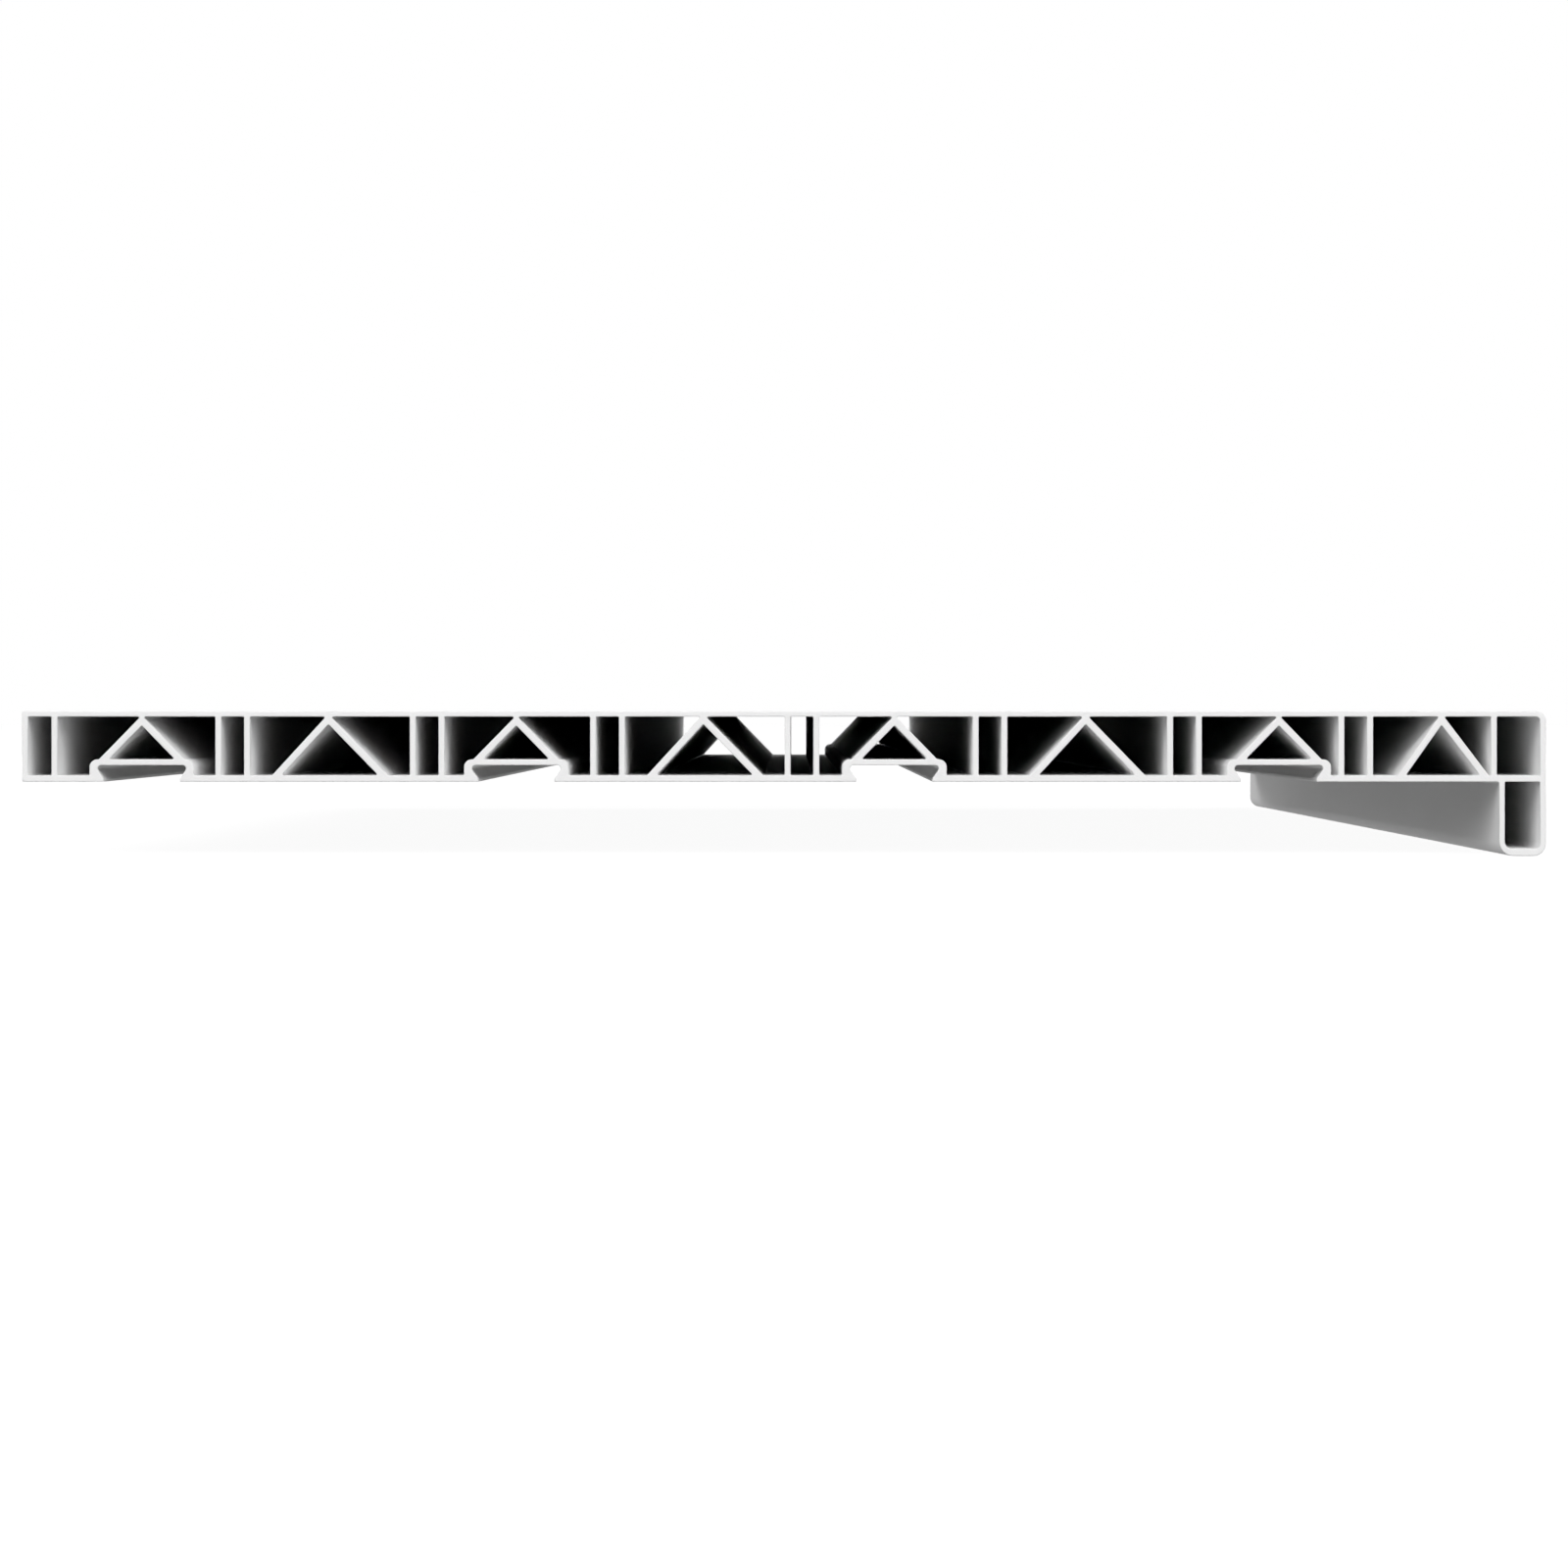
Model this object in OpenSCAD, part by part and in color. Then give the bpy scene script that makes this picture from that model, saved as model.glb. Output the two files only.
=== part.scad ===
// Hollow window sill board, extruded in one piece from rigid white plastic.
// The window edge is at the left of the section and the drip nose at the right.
// Two kinds of bay take turns along the depth: bays with a ridge-shaped truss, and bays
// with an undercut groove in the underside, where the bedding adhesive keys in.

/* [Board] */
// Length of the board, along the window
length = 600; // [100:10:3000]
// Thickness of the board behind the nose
board_thickness = 18.5; // [16:0.5:26]
// Thickness of the top wall
top_wall = 1.4; // [1:0.05:2]
// Thickness of the bottom wall
bottom_wall = 1.65; // [1:0.05:2.5]
// Thickness of the wall at the window edge
rear_wall = 1.5; // [1:0.05:2.5]
// Thickness of each upright rib
rib_wall = 1.55; // [1:0.05:2.5]
// Thickness of each sloping wall
diagonal_wall = 1.8; // [1:0.05:2.5]
// Radius in the corners of the chambers
chamber_fillet = 0.3; // [0.2:0.1:1]
// Radius of the two outer corners at the window edge
rear_edge_radius = 0.3; // [0.1:0.1:1]

/* [Bays] */
// Window edge to the middle of the first rib
rear_cell = 8.5; // [6:0.5:30]
// The two ribs of a pair, middle to middle
pair_pitch = 7.55; // [5:0.05:12]
// First bay with a groove, rib middle to rib middle
groove_bay_1 = 43; // [39:0.1:60]
// Second bay with a groove
groove_bay_2 = 39.8; // [35:0.1:60]
// Third bay with a groove
groove_bay_3 = 41.8; // [36:0.1:60]
// Fourth bay with a groove
groove_bay_4 = 37.4; // [36.5:0.1:60]
// Each bay with a full truss, rib middle to rib middle
truss_bay = 43.5; // [36:0.5:60]
// The narrower bay with a truss, next to the nose
last_truss_bay = 32.5; // [31:0.1:50]

/* [Trusses] */
// The two feet of a truss, middle to middle
truss_spread = 28; // [22:0.5:34]
// The two feet of the last truss, middle to middle
last_truss_spread = 21.8; // [18:0.2:22]
// Feet of the last truss from the middle of their bay, toward the nose
last_truss_offset = 2.9; // [0:0.1:3]
// The two feet of a truss that stands on a groove, middle to middle
groove_truss_spread = 20; // [14:0.5:22]
// Depth below the top face at which the slopes of a truss meet
truss_ridge_depth = 2.05; // [1.6:0.05:4]
// Depth below the top face at which the slopes over a groove meet
groove_ridge_depth = 2.4; // [1.6:0.05:4]
// Ridge of a truss from the middle of its feet, toward the window
ridge_lean = 0.4; // [0:0.1:2]

/* [Bedding grooves] */
// Depth of a groove above the underside
groove_depth = 4.35; // [3:0.05:7]
// Width of a groove at its ceiling, its widest place
groove_width = 24.8; // [21:0.2:26]
// Width of a groove at its mouth
groove_mouth = 20; // [14:0.5:22]
// Height of the upright edge on each side of the mouth
groove_lip = 0.8; // [0.2:0.1:2]
// Thickness of the wall above a groove
groove_wall = 1.5; // [1:0.05:2]
// Thickness of the walls beside a groove
groove_side_wall = 1.3; // [1:0.05:2]
// Radius in the upper corners of a groove
groove_fillet = 0.9; // [0.2:0.1:1.4]
// Radius of the shoulders above a groove
shoulder_radius = 2; // [0.5:0.1:2.5]
// First groove, from the rib behind it to its middle
groove_place_1 = 22.9; // [16:0.1:25]
// Second groove, from the rib behind it to its middle
groove_place_2 = 19.6; // [16:0.1:24]
// Third groove, from the rib behind it to its middle
groove_place_3 = 20.5; // [16:0.1:25]
// Fourth groove, from the rib behind it to its middle
groove_place_4 = 21; // [16:0.1:21.5]

/* [Nose] */
// Height of the nose, from the top face to the tip of the lip
nose_height = 38; // [34:1:80]
// Middle of the last rib to the front face
nose_cell = 13.65; // [13:0.05:40]
// Width of the lip, from its back to the front face
lip_width = 12.2; // [8:0.1:13]
// Thickness of the front wall
front_wall = 1.5; // [1:0.05:2.5]
// Thickness of the back of the lip
lip_back_wall = 1.4; // [1:0.05:2.5]
// Thickness of the tip of the lip
lip_tip_wall = 1.95; // [1:0.05:4]
// Radius of the upper front edge
nose_top_radius = 2.6; // [0.5:0.1:4]
// Radius of the lower front edge
nose_front_radius = 3.3; // [0.5:0.1:4]
// Radius of the lower back edge
nose_back_radius = 3.8; // [0.5:0.1:5]
// Radius where the back of the lip meets the underside
lip_root_radius = 0.7; // [0.2:0.1:2]

/* [Hidden] */
$fa = 6;
$fs = 0.25;

// Heights in the section, measured up from the tip of the lip
underside = nose_height - board_thickness;
floor_top = underside + bottom_wall;
ceiling = nose_height - top_wall;
housing_top = underside + groove_depth + groove_wall;

// Bays from the window edge to the nose, with a pair of ribs between neighbours
bays = [groove_bay_1, truss_bay, groove_bay_2, truss_bay, groove_bay_3, truss_bay, groove_bay_4, last_truss_bay];
groove_places = [groove_place_1, groove_place_2, groove_place_3, groove_place_4];
last = len(bays) - 1;

// Middle of the rib that opens bay i, and of the rib that closes it
function bay_start(i) = i == 0 ? rear_cell : bay_end(i - 1) + pair_pitch;
function bay_end(i) = bay_start(i) + bays[i];

depth = bay_end(last) + nose_cell;
lip_back = depth - lip_width;

// How far the cutting shapes reach past the faces that they open
cut_past = 1;

// Unit vector from p to q
function toward(p, q) = (q - p) / norm(q - p);

// Half of the angle between the two edges that meet at p
function half_angle(a, p, b) = acos(max(-1, min(1, toward(p, a) * toward(p, b)))) / 2;

// Length of edge that a round of radius r takes up at corner i
function reach(points, radii, i) =
    let (n = len(points), a = points[(i + n - 1) % n], p = points[i], b = points[(i + 1) % n])
    radii[i] / tan(half_angle(a, p, b));

// Share of its radius that corner i keeps, so that two rounds never need more than their edge
function kept(points, radii, i) =
    let (
        n = len(points),
        before = (i + n - 1) % n,
        after = (i + 1) % n,
        own = reach(points, radii, i),
        edge_before = norm(points[before] - points[i]),
        edge_after = norm(points[after] - points[i]),
        need_before = own + reach(points, radii, before),
        need_after = own + reach(points, radii, after)
    )
    min(1, 0.98 * edge_before / max(need_before, 0.001), 0.98 * edge_after / max(need_after, 0.001));

// Points of the round at p, between its neighbours a and b
function arc(a, p, b, r) =
    let (
        half = half_angle(a, p, b),
        middle = p + toward([0, 0], toward(p, a) + toward(p, b)) * r / sin(half),
        from = p + toward(p, a) * r / tan(half),
        to = p + toward(p, b) * r / tan(half),
        start = atan2(from.y - middle.y, from.x - middle.x),
        turn = atan2(to.y - middle.y, to.x - middle.x) - start,
        sweep = turn > 180 ? turn - 360 : turn < -180 ? turn + 360 : turn,
        steps = max(2, ceil(min(abs(sweep) / $fa, r * abs(sweep) * PI / 180 / $fs)))
    )
    [for (k = [0 : steps]) middle + r * [cos(start + sweep * k / steps), sin(start + sweep * k / steps)]];

// Outline through points, each corner rounded by its radius
function rounded(points, radii) = [
    for (i = [0 : len(points) - 1])
        let (
            n = len(points),
            a = points[(i + n - 1) % n],
            p = points[i],
            b = points[(i + 1) % n],
            r = radii[i] * kept(points, radii, i)
        )
        each (r < 0.02 ? [p] : arc(a, p, b, r))
];

// The same radius for every one of the points
function same(points, r) = [for (p = points) r];

// Place at height y on the middle line from foot to ridge
function along(foot, ridge, y) = foot.x + (ridge.x - foot.x) * (y - foot.y) / (ridge.y - foot.y);

// Half of a sloping wall's thickness, measured level
function half_run(foot, ridge) = diagonal_wall / 2 * norm(ridge - foot) / (ridge.y - foot.y);

// Chamber with the same fillet in all its corners
module chamber(corners) {
    polygon(rounded(corners, same(corners, chamber_fillet)));
}

// Chamber with upright sides, between two rib or wall faces
module plain_chamber(left, right) {
    chamber([[left, floor_top], [right, floor_top], [right, ceiling], [left, ceiling]]);
}

// Chamber between a rib face and the outer slope of a truss that stands on the bottom wall.
// side is -1 behind the ridge and 1 in front of it.
module truss_side_chamber(rib_face, foot, ridge, side) {
    run = half_run(foot, ridge) * side;
    top = along(foot, ridge, ceiling) + run;
    bottom = along(foot, ridge, floor_top) + run;
    room = (rib_face - bottom) * side;
    meeting = foot.y + (rib_face - run - foot.x) * (ridge.y - foot.y) / (ridge.x - foot.x);
    lower = room > 0.05 ? [[bottom, floor_top], [rib_face, floor_top]] : [[rib_face, meeting]];
    chamber(concat([[top, ceiling]], lower, [[rib_face, ceiling]]));
}

// Three-cornered chamber between the two slopes, standing on a floor at floor_y
module ridge_chamber(foot_left, foot_right, ridge, floor_y) {
    run_left = half_run(foot_left, ridge);
    run_right = half_run(foot_right, ridge);
    left = foot_left.x + run_left;
    right = foot_right.x - run_right;
    peak_y = floor_y + (ridge.y - floor_y) * (right - left) / (foot_right.x - foot_left.x);
    peak_x = along(foot_left, ridge, peak_y) + run_left;
    chamber([[left, floor_y], [right, floor_y], [peak_x, peak_y]]);
}

// The three chambers of a bay with a full truss
module truss_bay_chambers(start, end, middle, spread) {
    ridge = [middle - ridge_lean, nose_height - truss_ridge_depth];
    foot_left = [middle - spread / 2, floor_top];
    foot_right = [middle + spread / 2, floor_top];
    truss_side_chamber(start + rib_wall / 2, foot_left, ridge, -1);
    ridge_chamber(foot_left, foot_right, ridge, floor_top);
    truss_side_chamber(end - rib_wall / 2, foot_right, ridge, 1);
}

// Chamber between a rib face and the slope that stands on a groove's housing
module groove_side_chamber(rib_face, middle, foot, ridge, side) {
    run = half_run(foot, ridge) * side;
    housing_side = middle + (groove_width / 2 + groove_side_wall) * side;
    corners = [
        [along(foot, ridge, ceiling) + run, ceiling],
        [foot.x + run, housing_top],
        [housing_side, housing_top],
        [housing_side, floor_top],
        [rib_face, floor_top],
        [rib_face, ceiling]
    ];
    radii = [for (i = [0 : 5]) i == 2 ? shoulder_radius : chamber_fillet];
    polygon(rounded(corners, radii));
}

// The three chambers of a bay with a bedding groove
module groove_bay_chambers(start, end, middle) {
    ridge = [middle, nose_height - groove_ridge_depth];
    foot_left = [middle - groove_truss_spread / 2, housing_top];
    foot_right = [middle + groove_truss_spread / 2, housing_top];
    groove_side_chamber(start + rib_wall / 2, middle, foot_left, ridge, -1);
    ridge_chamber(foot_left, foot_right, ridge, housing_top);
    groove_side_chamber(end - rib_wall / 2, middle, foot_right, ridge, 1);
}

// Undercut groove, open to the underside
module bedding_groove(middle) {
    half_mouth = groove_mouth / 2;
    half_width = groove_width / 2;
    corners = [
        [-half_mouth, -cut_past],
        [half_mouth, -cut_past],
        [half_mouth, groove_lip],
        [half_width, groove_depth],
        [-half_width, groove_depth],
        [-half_mouth, groove_lip]
    ];
    radii = [0, 0, groove_lip / 4, groove_fillet, groove_fillet, groove_lip / 4];
    translate([middle, underside])
        polygon(rounded(corners, radii));
}

// Chamber of the nose above the line of the bottom wall
module nose_chamber() {
    left = bay_end(last) + rib_wall / 2;
    right = depth - front_wall;
    corners = [[left, floor_top], [right, floor_top], [right, ceiling], [left, ceiling]];
    inner_radius = max(chamber_fillet, nose_top_radius - (front_wall + top_wall) / 2);
    polygon(rounded(corners, [chamber_fillet, chamber_fillet, inner_radius, chamber_fillet]));
}

// Chamber of the drip lip, below the line of the bottom wall
module lip_chamber() {
    left = lip_back + lip_back_wall;
    right = depth - front_wall;
    corners = [[left, lip_tip_wall], [right, lip_tip_wall], [right, underside], [left, underside]];
    back_radius = max(chamber_fillet, nose_back_radius - lip_tip_wall);
    front_radius = max(chamber_fillet, nose_front_radius - lip_tip_wall);
    polygon(rounded(corners, [back_radius, front_radius, chamber_fillet, chamber_fillet]));
}

// Outer shape of the section, with the lip below the front of the board
module outline() {
    corners = [
        [0, underside],
        [lip_back, underside],
        [lip_back, 0],
        [depth, 0],
        [depth, nose_height],
        [0, nose_height]
    ];
    radii = [
        rear_edge_radius,
        lip_root_radius,
        nose_back_radius,
        nose_front_radius,
        nose_top_radius,
        rear_edge_radius
    ];
    polygon(rounded(corners, radii));
}

// Full section of the board
module section() {
    difference() {
        outline();
        plain_chamber(rear_wall, rear_cell - rib_wall / 2);
        for (i = [0 : last]) {
            if (i > 0)
                plain_chamber(bay_end(i - 1) + rib_wall / 2, bay_start(i) - rib_wall / 2);
            if (i % 2 == 0) {
                middle = bay_start(i) + groove_places[i / 2];
                groove_bay_chambers(bay_start(i), bay_end(i), middle);
                bedding_groove(middle);
            } else if (i < last) {
                truss_bay_chambers(bay_start(i), bay_end(i), (bay_start(i) + bay_end(i)) / 2, truss_spread);
            } else {
                middle = (bay_start(i) + bay_end(i)) / 2 + last_truss_offset;
                truss_bay_chambers(bay_start(i), bay_end(i), middle, last_truss_spread);
            }
        }
        nose_chamber();
        lip_chamber();
    }
}

// The whole board, lying as it is built in: origin under its middle, nose toward +X
module sill_board() {
    color("whitesmoke")
        rotate([90, 0, 0])
            linear_extrude(height = length, center = true)
                translate([-depth / 2, 0])
                    section();
}

sill_board();
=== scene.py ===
import bpy
import numpy as np
from bpy.props import FloatProperty, FloatVectorProperty, PointerProperty
from bpy.types import Operator, Panel, PropertyGroup
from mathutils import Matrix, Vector


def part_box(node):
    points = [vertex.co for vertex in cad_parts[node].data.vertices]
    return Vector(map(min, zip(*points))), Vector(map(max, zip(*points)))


bl_info = {
    "name": "Window Sill Board",
    "version": (1, 0, 0),
    "blender": (4, 5, 0),
    "location": "3D View > Sidebar > Window Sill",
    "description": "Finishes a hollow plastic window sill board and sets it in a plain studio",
    "category": "Object",
}

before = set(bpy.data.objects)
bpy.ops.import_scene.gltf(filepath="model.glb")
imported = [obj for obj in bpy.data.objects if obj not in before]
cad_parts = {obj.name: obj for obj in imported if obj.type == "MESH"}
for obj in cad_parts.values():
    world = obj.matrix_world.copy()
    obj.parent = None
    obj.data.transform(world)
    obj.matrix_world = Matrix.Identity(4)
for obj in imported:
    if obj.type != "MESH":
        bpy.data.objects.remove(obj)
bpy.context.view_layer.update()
board_low, board_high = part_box("sill_board")

# Lengths are in metres, and small ones are written as so many MM
MM = 0.001

# Side of the photograph's square frame, and the point in it where lines along the board meet
FRAME_PIXELS = 1600
VANISHING_X = 808.4
VANISHING_Y = 730.0
# Row of the top of the near cut end, and the width of that end
TOP_PIXEL = 725.8
NEAR_WIDTH_PIXELS = 1554.9
# Size of the far cut end beside the near one
FAR_TO_NEAR = 0.6476
# Width of the camera's film in millimetres
SENSOR_WIDTH = 36.0

# The studio's square panels: their distance from what they light, their widths, and their rise above level
PANEL_AWAY = 2.4
SIDE_PANEL_WIDTH = 1.7
SIDE_PANEL_RISE = np.radians(28)
FRONT_PANEL_WIDTH = 1.5
FRONT_PANEL_RISE = np.radians(38)
BACK_PANEL_WIDTH = 0.6
BACK_PANEL_RISE = np.radians(17)
# Angle round the upright from the camera's side to each back panel
BACK_PANEL_TURN = np.radians(140)

# Part of a noise texture's range that nearly all its values lie in
NOISE_SPAN = {"From Min": 0.3, "From Max": 0.7}


def linear(hex_colour):
    """Turns an sRGB hex colour such as "ebebeb" into linear red, green and blue."""
    values = [int(hex_colour[i : i + 2], 16) / 255 for i in (0, 2, 4)]
    return tuple(v / 12.92 if v <= 0.04045 else ((v + 0.055) / 1.055) ** 2.4 for v in values)


def add_node(tree, kind, inputs=None, **settings):
    """Adds a node of a kind, applies its settings, and links or sets its inputs by name or number."""
    node = tree.nodes.new("ShaderNode" + kind)
    for name, value in settings.items():
        setattr(node, name, value)
    for name, value in (inputs or {}).items():
        if isinstance(value, bpy.types.NodeSocket):
            tree.links.new(value, node.inputs[name])
        else:
            node.inputs[name].default_value = value
    return node


def new_material(name):
    """Makes an empty node material and returns it with its node tree."""
    material = bpy.data.materials.new(name)
    material.use_nodes = True
    material.node_tree.nodes.clear()
    return material, material.node_tree


class BoardFinish(PropertyGroup):
    """Colour and surface of the extruded board"""

    skin_colour: FloatVectorProperty(
        name="Skin",
        description="Colour of the faces that the die formed",
        subtype="COLOR",
        default=linear("f4f4f4"),
        min=0,
        max=1,
    )
    cut_colour: FloatVectorProperty(
        name="Cut",
        description="Colour of the sawn ends",
        subtype="COLOR",
        default=linear("e9e9e9"),
        min=0,
        max=1,
    )
    skin_roughness: FloatProperty(
        name="Skin roughness",
        description="Roughness of the faces that the die formed",
        subtype="FACTOR",
        default=0.46,
        min=0,
        max=1,
    )
    cut_roughness: FloatProperty(
        name="Cut roughness",
        description="Roughness of the sawn ends",
        subtype="FACTOR",
        default=0.62,
        min=0,
        max=1,
    )
    edge_radius: FloatProperty(
        name="Edge radius",
        description="Radius of the broken edges around the sawn ends",
        unit="LENGTH",
        default=0.5 * MM,
        min=0,
        max=1 * MM,
    )
    relief_depth: FloatProperty(
        name="Relief depth",
        description="Depth of the die's lines and of the saw's marks",
        unit="LENGTH",
        default=0.04 * MM,
        min=0,
        max=0.5 * MM,
    )
    die_line_pitch: FloatProperty(
        name="Die line pitch",
        description="Distance between the faint lines that the die leaves along the board",
        unit="LENGTH",
        default=0.9 * MM,
        min=0.1 * MM,
        max=5 * MM,
    )
    saw_pitch: FloatProperty(
        name="Saw mark pitch",
        description="Distance between the saw's marks on the cut ends",
        unit="LENGTH",
        default=0.7 * MM,
        min=0.1 * MM,
        max=5 * MM,
    )
    saw_radius: FloatProperty(
        name="Saw radius",
        description="Height of the board above the middle of the blade that sawed its ends",
        unit="LENGTH",
        default=175 * MM,
        min=50 * MM,
        max=400 * MM,
    )


class StudioSetup(PropertyGroup):
    """Levels of the light and the floor"""

    surround_level: FloatProperty(
        name="Surround",
        description="Brightness of the air around the board, as it lights the board",
        subtype="FACTOR",
        default=0.05,
        min=0,
        max=1,
    )
    side_power: FloatProperty(
        name="Side panels",
        description="Power of each of the two panels to the left and right of the camera",
        subtype="POWER",
        unit="POWER",
        default=38,
        min=0,
    )
    side_angle: FloatProperty(
        name="Side angle",
        description="Angle of the side panels from the view line",
        subtype="ANGLE",
        default=np.radians(42),
        min=0,
        max=np.pi / 2,
    )
    front_power: FloatProperty(
        name="Front panel",
        description="Power of the panel above the camera",
        subtype="POWER",
        unit="POWER",
        default=18,
        min=0,
    )
    back_power: FloatProperty(
        name="Back panels",
        description="Power of each of the two low panels behind the far end",
        subtype="POWER",
        unit="POWER",
        default=27,
        min=0,
    )
    floor_glow: FloatProperty(
        name="Floor glow",
        description="Share of the floor's white that no shadow takes away",
        subtype="FACTOR",
        default=0.94,
        min=0,
        max=1,
    )


def die_lines(tree, place, pitch):
    """Faint lines of the die: noise as wide as their pitch, drawn out nearly endlessly along the board."""
    line_length = 900 * MM
    scale = (1 / pitch, 1 / line_length, 1 / pitch)
    drawn_out = add_node(tree, "Mapping", {"Vector": place, "Scale": scale}).outputs[0]
    return add_node(tree, "TexNoise", {"Vector": drawn_out, "Scale": 1.0, "Detail": 3.0}).outputs[0]


def saw_arcs(tree, place, pitch, radius):
    """Arcs of the blade: slightly uneven rings about its middle, below the board and a little off centre."""
    off_centre = 30 * MM
    from_blade = add_node(
        tree, "Mapping", {"Vector": place, "Location": (off_centre, 0, radius), "Scale": (1, 0, 1)}
    ).outputs[0]
    # At scale 1 the texture's rings lie pi / 10 apart
    return add_node(
        tree,
        "TexWave",
        {"Vector": from_blade, "Scale": np.pi / 10 / pitch, "Distortion": 1.5, "Detail": 2.0},
        wave_type="RINGS",
        rings_direction="SPHERICAL",
    ).outputs["Fac"]


def cut_mask(tree, place):
    """1 on the two sawn ends and 0 on the skin, told apart by the distance from the middle of the board."""
    tolerance = 0.02 * MM
    along = add_node(tree, "SeparateXYZ", {0: place}).outputs["Y"]
    from_middle = add_node(tree, "Math", {0: along}, operation="ABSOLUTE").outputs[0]
    limit = board_high.y - tolerance
    return add_node(tree, "Math", {0: from_middle, 1: limit}, operation="GREATER_THAN").outputs[0]


def vinyl_shade(tree, place, relief):
    """How much of its colour each point keeps: the melt is slightly cloudy, and the relief leaves a trace."""
    cloud_size = 45 * MM
    clouds = add_node(tree, "TexNoise", {"Vector": place, "Scale": 1 / cloud_size, "Detail": 3.0}).outputs[0]
    cloud_range = {"To Min": 0.985, "To Max": 1.0}
    cloud_shade = add_node(tree, "MapRange", {"Value": clouds, **NOISE_SPAN, **cloud_range}).outputs[0]
    relief_shade = add_node(tree, "MapRange", {"Value": relief, "To Min": 0.99, "To Max": 1.0}).outputs[0]
    return add_node(tree, "Math", {0: cloud_shade, 1: relief_shade}, operation="MULTIPLY").outputs[0]


def extruded_vinyl(finish):
    """Rigid white vinyl. The die gives it a smooth satin skin with faint lines along the board.

    The saw leaves the two ends a little duller, with shallow arcs and slightly broken edges."""
    material, tree = new_material("extruded_white_vinyl")
    place = add_node(tree, "TexCoord").outputs["Object"]
    on_cut = cut_mask(tree, place)
    lines = die_lines(tree, place, finish.die_line_pitch)
    arcs = saw_arcs(tree, place, finish.saw_pitch, finish.saw_radius)
    relief = add_node(tree, "Mix", {"Factor": on_cut, 2: lines, 3: arcs}).outputs[0]

    base = add_node(
        tree,
        "Mix",
        {"Factor": on_cut, 6: (*finish.skin_colour, 1), 7: (*finish.cut_colour, 1)},
        data_type="RGBA",
    ).outputs[2]
    shade = vinyl_shade(tree, place, relief)
    colour = add_node(tree, "VectorMath", {0: base, "Scale": shade}, operation="SCALE").outputs[0]

    uneven = 0.01
    skin_range = {"To Min": finish.skin_roughness - uneven, "To Max": finish.skin_roughness + uneven}
    rough_skin = add_node(tree, "MapRange", {"Value": lines, **NOISE_SPAN, **skin_range}).outputs[0]
    rough = add_node(tree, "Mix", {"Factor": on_cut, 2: rough_skin, 3: finish.cut_roughness}).outputs[0]

    broken_edge = add_node(tree, "Bevel", {"Radius": finish.edge_radius}, samples=6).outputs[0]
    bump = add_node(
        tree,
        "Bump",
        {"Strength": 0.15, "Distance": finish.relief_depth, "Height": relief, "Normal": broken_edge},
    ).outputs[0]
    shader = add_node(
        tree,
        "BsdfPrincipled",
        {"Base Color": colour, "Roughness": rough, "IOR": 1.47, "Normal": bump},
    ).outputs[0]
    add_node(tree, "OutputMaterial", {"Surface": shader})
    return material


class SILL_OT_board(Operator):
    """Gives the extruded board its white vinyl"""

    bl_idname = "sill.board"
    bl_label = "Sill board"

    def execute(self, context):
        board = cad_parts["sill_board"]
        vinyl = extruded_vinyl(context.scene.board_finish)
        for slot in board.material_slots:
            slot.material = vinyl
        return {"FINISHED"}


def seen_directly(tree):
    """1 for what the camera, a reflection or a pane shows, and 0 for light that falls on the board."""
    path = add_node(tree, "LightPath").outputs
    seen = path["Is Camera Ray"]
    for name in ("Is Glossy Ray", "Is Transmission Ray"):
        seen = add_node(tree, "Math", {0: seen, 1: path[name]}, operation="MAXIMUM").outputs[0]
    return seen


def white_surround(level):
    """World that shows white and lights the board softly from all round."""
    world = bpy.data.worlds.new("white_surround")
    world.use_nodes = True
    tree = world.node_tree
    tree.nodes.clear()
    white = add_node(tree, "Background", {"Color": (1, 1, 1, 1), "Strength": 1.0}).outputs[0]
    soft = add_node(tree, "Background", {"Color": (1, 1, 1, 1), "Strength": level}).outputs[0]
    mixed = add_node(tree, "MixShader", {0: seen_directly(tree), 1: soft, 2: white}).outputs[0]
    add_node(tree, "OutputWorld", {"Surface": mixed})
    return world


def pale_floor(glow):
    """White floor that takes a faint shadow of the board and runs out into the white around it.

    Its glow rises to full white from the edge of the shadow outwards."""
    shadow_reach = 0.6
    white_from = 2.0
    shadow_depth = 0.16
    material, tree = new_material("pale_floor")
    place = add_node(tree, "TexCoord").outputs["Object"]
    away = add_node(tree, "VectorMath", {0: place}, operation="LENGTH").outputs["Value"]
    strength = add_node(
        tree,
        "MapRange",
        {"Value": away, "From Min": shadow_reach, "From Max": white_from, "To Min": glow, "To Max": 1.0},
    ).outputs[0]
    lit = add_node(tree, "BsdfDiffuse", {"Color": (shadow_depth, shadow_depth, shadow_depth, 1)}).outputs[0]
    glowing = add_node(tree, "Emission", {"Color": (1, 1, 1, 1), "Strength": strength}).outputs[0]
    seen = add_node(tree, "AddShader", {0: lit, 1: glowing}).outputs[0]
    plain = add_node(tree, "BsdfDiffuse", {"Color": (0.8, 0.8, 0.8, 1)}).outputs[0]
    mixed = add_node(tree, "MixShader", {0: seen_directly(tree), 1: plain, 2: seen}).outputs[0]
    add_node(tree, "OutputMaterial", {"Surface": mixed})
    return material


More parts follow.
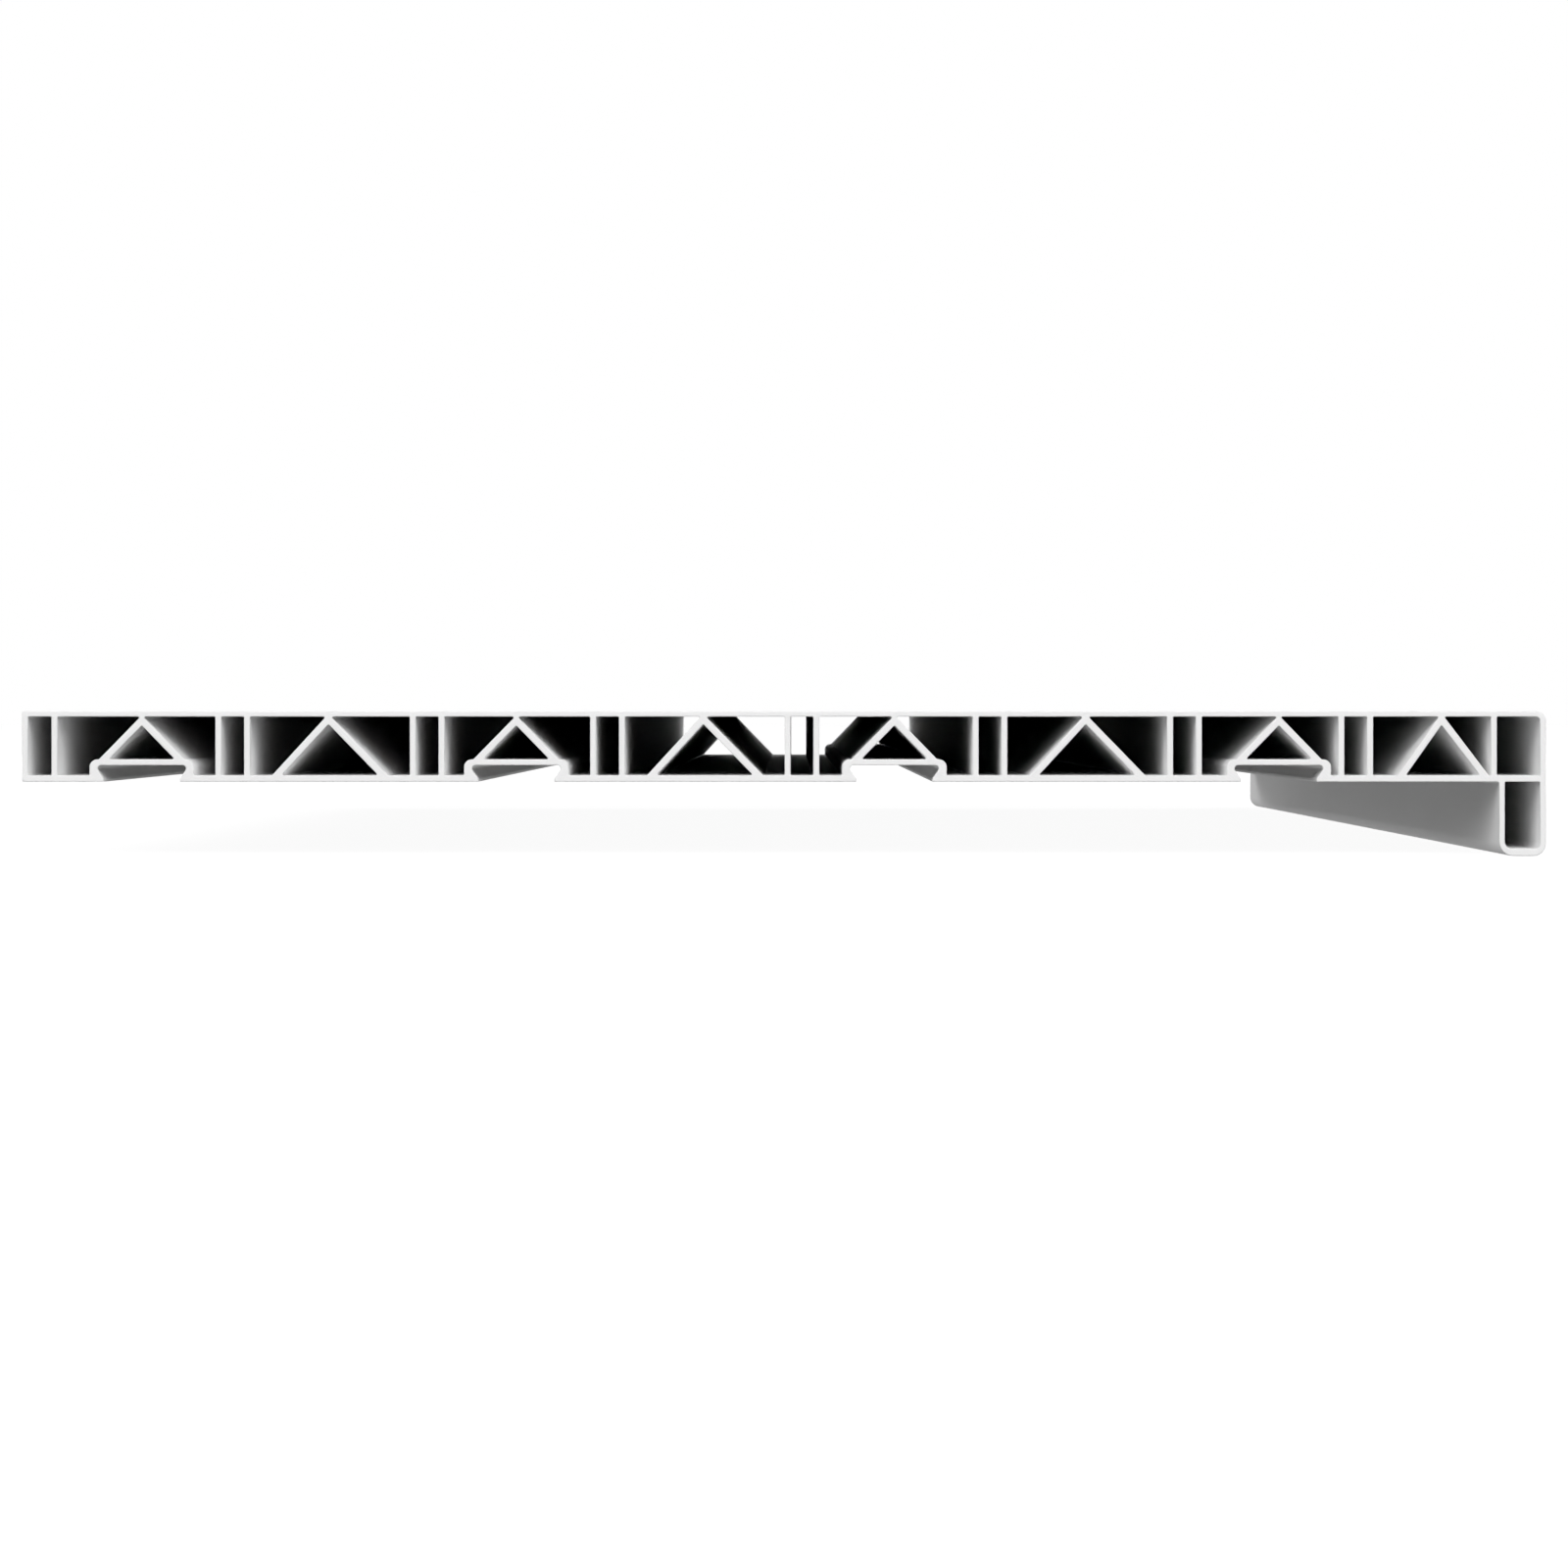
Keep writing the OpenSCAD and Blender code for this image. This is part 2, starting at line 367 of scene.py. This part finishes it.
def add_panel(name, aim, turn, rise, width, power):
    """Adds a square soft lamp that looks at an aim point and shows in no picture or reflection.

    Turn is its angle round the upright, from the camera's side toward the nose.
    Rise is its angle above level."""
    lamp = bpy.data.lights.new(name, "AREA")
    lamp.size = width
    lamp.energy = power
    holder = bpy.data.objects.new(name, lamp)
    bpy.context.scene.collection.objects.link(holder)
    outward = Vector((np.sin(turn) * np.cos(rise), -np.cos(turn) * np.cos(rise), np.sin(rise)))
    holder.location = aim + outward * PANEL_AWAY
    holder.rotation_mode = "QUATERNION"
    holder.rotation_quaternion = outward.to_track_quat("Z", "Y")
    holder.visible_camera = False
    holder.visible_glossy = False


class SILL_OT_stage(Operator):
    """Lays the floor, sets the light and places the camera square on to the near cut end"""

    bl_idname = "sill.stage"
    bl_label = "Floor, light and camera"

    def execute(self, context):
        scene = context.scene
        studio = scene.sill_studio
        scene.world = white_surround(studio.surround_level)
        scene.view_settings.view_transform = "Standard"
        self.lay_floor(studio.floor_glow)
        self.set_panels(studio)
        self.place_camera(scene)
        return {"FINISHED"}

    def set_panels(self, studio):
        """A panel on each side of the camera, one above it, and two low ones behind for the far end."""
        near_end = Vector((0, board_low.y, board_high.z / 2))
        far_end = Vector((0, board_high.y, board_high.z / 2))
        for side in (-1, 1):
            turn = side * studio.side_angle
            add_panel("side_panel", near_end, turn, SIDE_PANEL_RISE, SIDE_PANEL_WIDTH, studio.side_power)
            turn = side * BACK_PANEL_TURN
            add_panel("back_panel", far_end, turn, BACK_PANEL_RISE, BACK_PANEL_WIDTH, studio.back_power)
        add_panel("front_panel", near_end, 0, FRONT_PANEL_RISE, FRONT_PANEL_WIDTH, studio.front_power)

    def lay_floor(self, glow):
        """A flat square far wider than the view: a grid of x and y, level with the board's lowest point."""
        reach = 12.0
        x, y = np.meshgrid((-reach, reach), (-reach, reach))
        points = np.stack([x, y, np.full_like(x, board_low.z)], -1).reshape(-1, 3)
        mesh = bpy.data.meshes.new("floor")
        mesh.from_pydata(points.tolist(), [], [(0, 1, 3, 2)])
        mesh.materials.append(pale_floor(glow))
        floor = bpy.data.objects.new("floor", mesh)
        bpy.context.scene.collection.objects.link(floor)
        floor.visible_diffuse = False

    def place_camera(self, scene):
        """The camera looks along the board. Its distance follows from how much smaller the far end looks."""
        pixel = (board_high.x - board_low.x) / NEAR_WIDTH_PIXELS
        left_pixel = (FRAME_PIXELS - NEAR_WIDTH_PIXELS) / 2
        length = board_high.y - board_low.y
        distance = length * FAR_TO_NEAR / (1 - FAR_TO_NEAR)
        camera_data = bpy.data.cameras.new("camera")
        camera_data.sensor_width = SENSOR_WIDTH
        camera_data.lens = SENSOR_WIDTH * distance / (FRAME_PIXELS * pixel)
        camera_data.shift_x = 0.5 - VANISHING_X / FRAME_PIXELS
        camera_data.shift_y = VANISHING_Y / FRAME_PIXELS - 0.5
        camera_data.clip_start = 0.01
        camera_data.clip_end = 100
        camera = bpy.data.objects.new("camera", camera_data)
        scene.collection.objects.link(camera)
        camera.location = (
            board_low.x + (VANISHING_X - left_pixel) * pixel,
            board_low.y - distance,
            board_high.z - (VANISHING_Y - TOP_PIXEL) * pixel,
        )
        camera.rotation_euler = (np.pi / 2, 0, 0)
        scene.camera = camera


class SILL_PT_sidebar(Panel):
    """Lists the board's pieces and the stage"""

    bl_label = "Window sill"
    bl_idname = "SILL_PT_sidebar"
    bl_space_type = "VIEW_3D"
    bl_region_type = "UI"
    bl_category = "Window Sill"

    def draw(self, context):
        scene = context.scene
        for group, operator in (
            (scene.board_finish, SILL_OT_board),
            (scene.sill_studio, SILL_OT_stage),
        ):
            box = self.layout.box()
            for name in group.bl_rna.properties.keys():
                if name not in ("rna_type", "name"):
                    box.prop(group, name)
            box.operator(operator.bl_idname)


CLASSES = (BoardFinish, StudioSetup, SILL_OT_board, SILL_OT_stage, SILL_PT_sidebar)


def register():
    for cls in CLASSES:
        bpy.utils.register_class(cls)
    bpy.types.Scene.board_finish = PointerProperty(type=BoardFinish)
    bpy.types.Scene.sill_studio = PointerProperty(type=StudioSetup)


def unregister():
    del bpy.types.Scene.sill_studio
    del bpy.types.Scene.board_finish
    for cls in reversed(CLASSES):
        bpy.utils.unregister_class(cls)


def main():
    register()
    bpy.ops.sill.board()
    bpy.ops.sill.stage()


if __name__ == "__main__":
    main()
